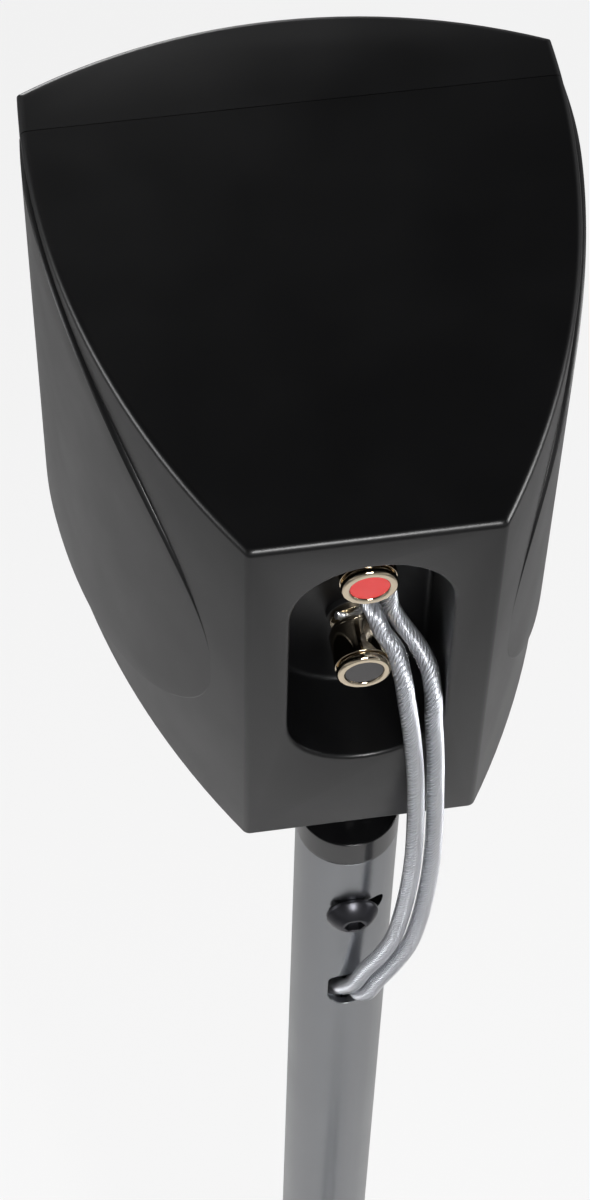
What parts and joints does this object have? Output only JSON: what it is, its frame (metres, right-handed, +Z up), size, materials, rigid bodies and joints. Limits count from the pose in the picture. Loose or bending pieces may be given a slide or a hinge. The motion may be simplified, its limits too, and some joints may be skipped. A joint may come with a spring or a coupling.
{
  "type": "speaker stand",
  "caption": "Floor stand with a round base and slim pole, carrying a satellite loudspeaker on a swivelling collar, wired with clear twin cable.",
  "frame": {"origin": "on the floor, at the centre of the round base, on the pole's axis", "axes": "+Z up along the pole, -Y towards the front of the loudspeaker, +X to the left of someone looking at its rear face"},
  "size_m": [0.3284, 0.4421, 0.9698],
  "materials": {
    "base_steel": "satin black powder coat",
    "foot_rubber": "matte black",
    "zinc_steel": "zinc plated",
    "foot_ring_plastic": "satin black",
    "pole_metal": "satin anodised silver",
    "collar_black": "gloss black",
    "black_screw": "black oxide",
    "pad_rubber": "matte black",
    "cabinet_plastic": "satin black moulded",
    "brass": "turned brass",
    "baffle_board": "black",
    "pressed_steel": "black",
    "ferrite": "sintered ferrite",
    "cone_paper": "dark fibre cone",
    "soft_rubber": "matte black",
    "copper_winding": "enamelled copper",
    "former_aluminium": "foil",
    "spider_cloth": "treated cotton",
    "dome_silk": "coated silk",
    "grille_plastic": "satin black",
    "grille_mesh": "perforated black metal",
    "board_laminate": "green laminate",
    "capacitor_sleeve": "film sleeve",
    "resistor_ceramic": "ceramic",
    "wadding": "loose white fibre",
    "insulator_nylon": "black nylon",
    "gold_plate": "mirror gold plate",
    "red_disc": "translucent red",
    "black_disc": "black",
    "clear_pvc": "clear sleeve over tinned strands",
    "tinned_strands": "tinned copper strands"
  },
  "bodies": {
    "stand": {"base_plate": "base_steel", "floor_pads": "foot_rubber", "foot_screw": "zinc_steel", "foot_insert": "zinc_steel", "foot_ring": "foot_ring_plastic", "pole_tube": "pole_metal", "pole_wire_black": "clear_pvc", "pole_wire_red": "clear_pvc", "lead_run": "clear_pvc", "lead_coil": "clear_pvc", "lead_tails": "clear_pvc", "lead_bare_ends": "tinned_strands"},
    "head": {"swivel_plug": "collar_black", "clamp_screw": "black_screw", "isolation_pad": "pad_rubber", "mount_screw": "zinc_steel", "mount_insert": "brass", "cabinet": "cabinet_plastic", "baffle": "baffle_board", "baffle_screws": "zinc_steel", "woofer_basket": "pressed_steel", "woofer_top_plate": "zinc_steel", "woofer_magnet": "ferrite", "woofer_yoke": "zinc_steel", "woofer_surround": "soft_rubber", "woofer_spider": "spider_cloth", "woofer_gasket": "soft_rubber", "woofer_screws": "zinc_steel", "tweeter_faceplate": "pressed_steel", "tweeter_dome": "dome_silk", "tweeter_motor": "pressed_steel", "tweeter_screws": "zinc_steel", "crossover_board": "board_laminate", "board_screws": "zinc_steel", "inductor": "copper_winding", "capacitors": "capacitor_sleeve", "resistor": "resistor_ceramic", "damping_wadding": "wadding", "post_insulators": "insulator_nylon", "post_stems": "gold_plate", "solder_tags": "gold_plate", "post_nuts": "gold_plate", "conductor_black": "clear_pvc", "conductor_red": "clear_pvc", "strands_black": "tinned_strands", "strands_red": "tinned_strands"},
    "cone": {"voice_coil_former": "former_aluminium", "voice_coil": "copper_winding", "woofer_cone": "cone_paper", "dust_cap": "cone_paper"},
    "grille": {"grille_frame": "grille_plastic", "grille_cloth": "grille_mesh"},
    "washer_red": {"clamp_washer_red": "gold_plate"},
    "knob_red": {"knob_red": "gold_plate", "knob_insert_red": "red_disc"},
    "washer_black": {"clamp_washer_black": "gold_plate"},
    "knob_black": {"knob_black": "gold_plate", "knob_insert_black": "black_disc"}
  },
  "joints": [
    {"name": "head_swivel", "type": "hinge", "parent": "stand", "child": "head", "pos_m": [0, 0, 0.8121], "axis": [0, 0, 1], "range_deg": [-7, 22], "deforming": ["conductor_black", "conductor_red"]},
    {"name": "cone_travel", "type": "slide", "parent": "head", "child": "cone", "axis": [0, -1, 0], "range_m": [-0.0025, 0.0025], "stiffness_N_per_m": 900, "deforming": ["woofer_surround", "woofer_spider"]},
    {"name": "grille_pull", "type": "slide", "parent": "head", "child": "grille", "axis": [0, -1, 0], "range_m": [0, 0.03]},
    {"name": "washer_lift_red", "type": "slide", "parent": "head", "child": "washer_red", "axis": [0, 1, 0], "range_m": [0, 0.0021]},
    {"name": "knob_turn_red", "type": "hinge", "parent": "washer_red", "child": "knob_red", "pos_m": [0, 0.001, 0.9411], "axis": [0, 1, 0], "range_deg": [0, 1080]},
    {"name": "washer_lift_black", "type": "slide", "parent": "head", "child": "washer_black", "axis": [0, 1, 0], "range_m": [0, 0.0021]},
    {"name": "knob_turn_black", "type": "hinge", "parent": "washer_black", "child": "knob_black", "pos_m": [0, 0.001, 0.9035], "axis": [0, 1, 0], "range_deg": [0, 1080]}
  ],
  "couplings": [
    {"joint": "knob_turn_red", "follows": "washer_lift_red", "rad_per_m": 8976},
    {"joint": "knob_turn_black", "follows": "washer_lift_black", "rad_per_m": 8976}
  ]
}
